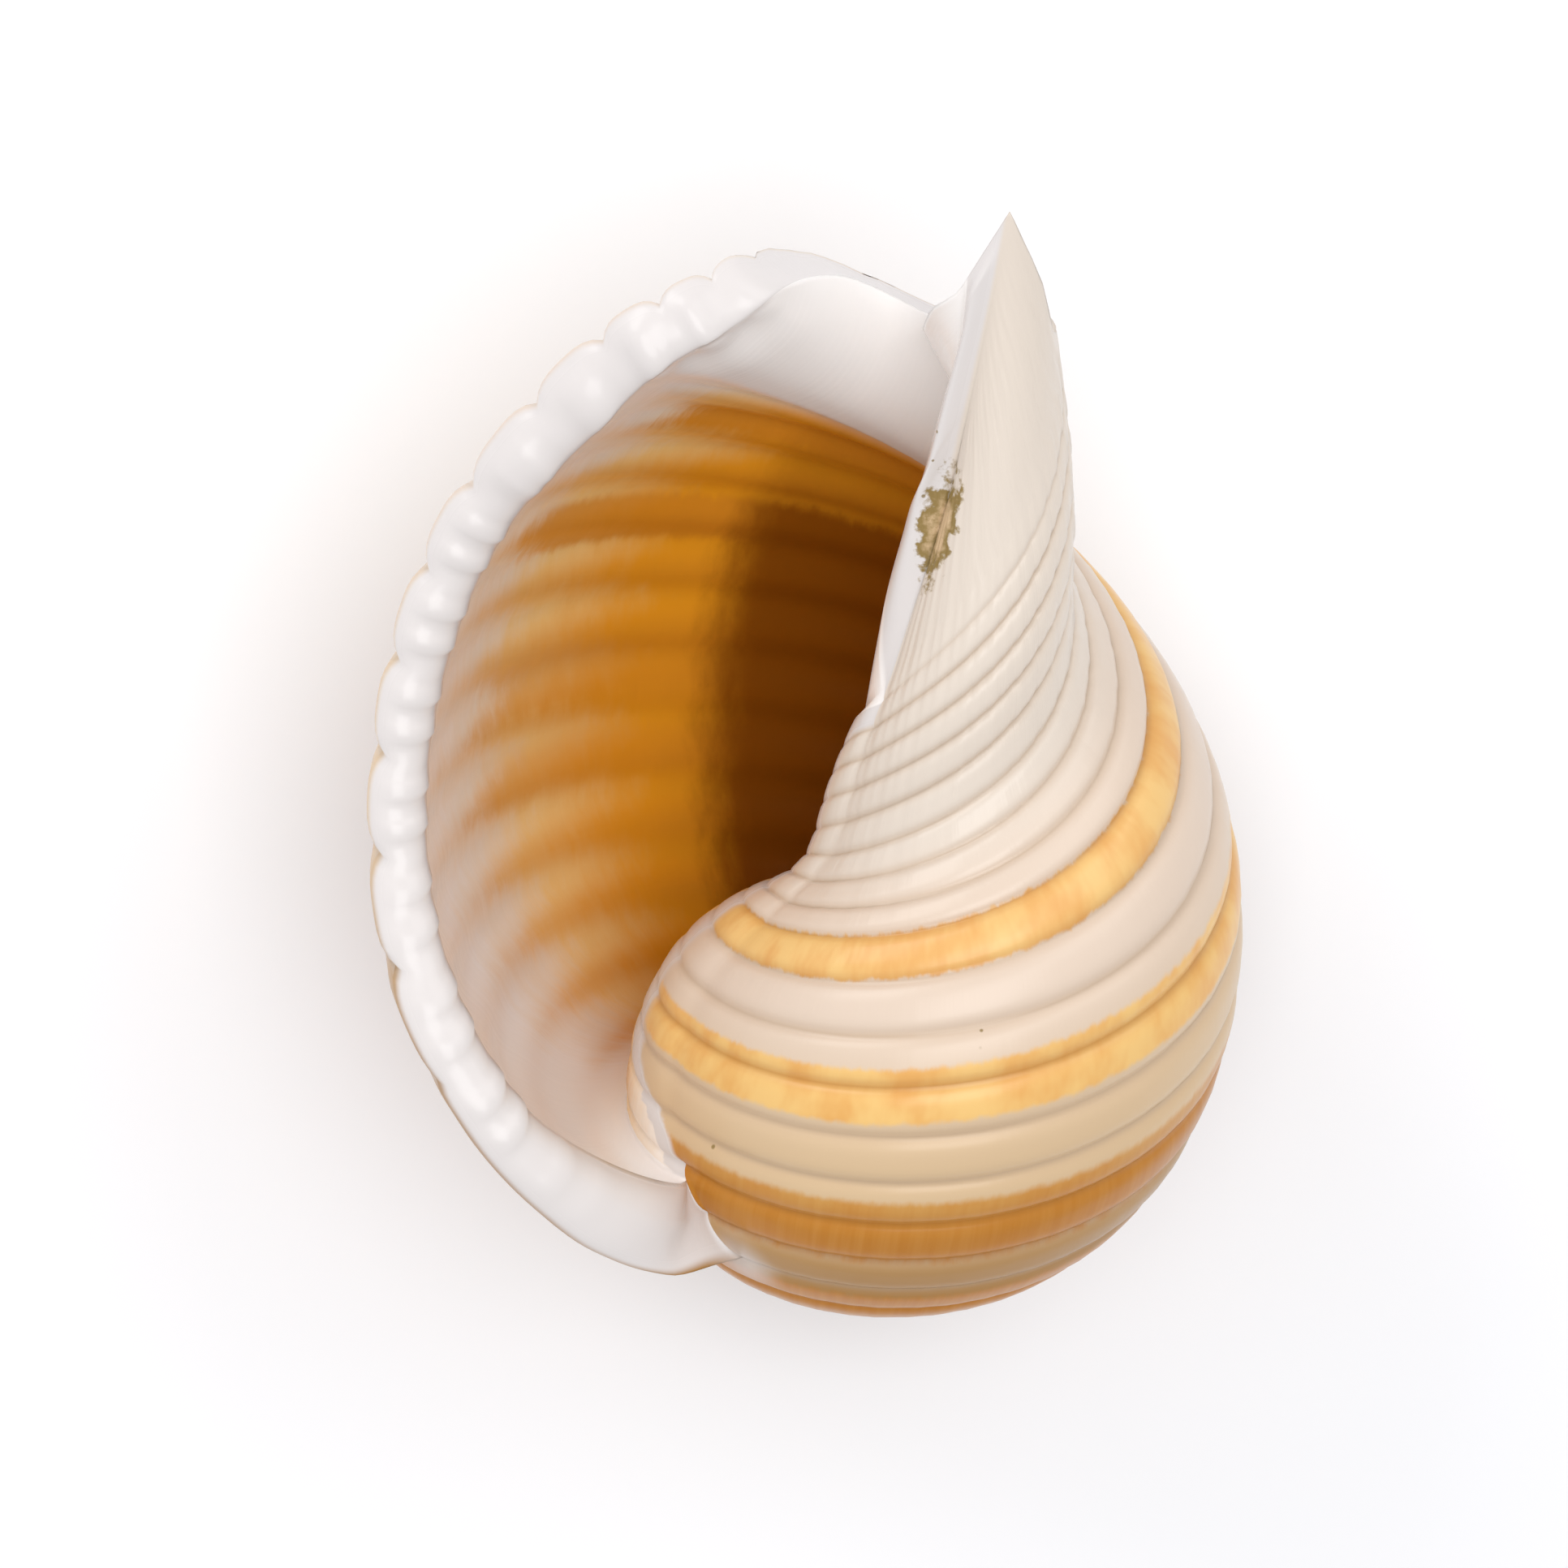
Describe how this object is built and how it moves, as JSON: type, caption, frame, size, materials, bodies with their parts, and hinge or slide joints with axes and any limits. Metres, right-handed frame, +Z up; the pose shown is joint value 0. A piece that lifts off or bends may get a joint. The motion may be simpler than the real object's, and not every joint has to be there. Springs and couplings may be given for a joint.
{
  "type": "banded tun shell",
  "caption": "Hollow coiled sea-snail shell with raised spiral cords, a thick toothed outer lip, a twisted columella and a short pointed spire, lying on its back.",
  "frame": {"origin": "centre of the bounding box's base, on the surface that the shell rests on", "axes": "+Z up, out of the opening; +Y along the shell from the spire's tip towards the canal"},
  "size_m": [0.0692, 0.0868, 0.0613],
  "materials": {
    "shell": "glossy porcelain, cream with orange-brown bands and a brown inside"
  },
  "bodies": {
    "root": {"shell": "shell"}
  },
  "joints": []
}
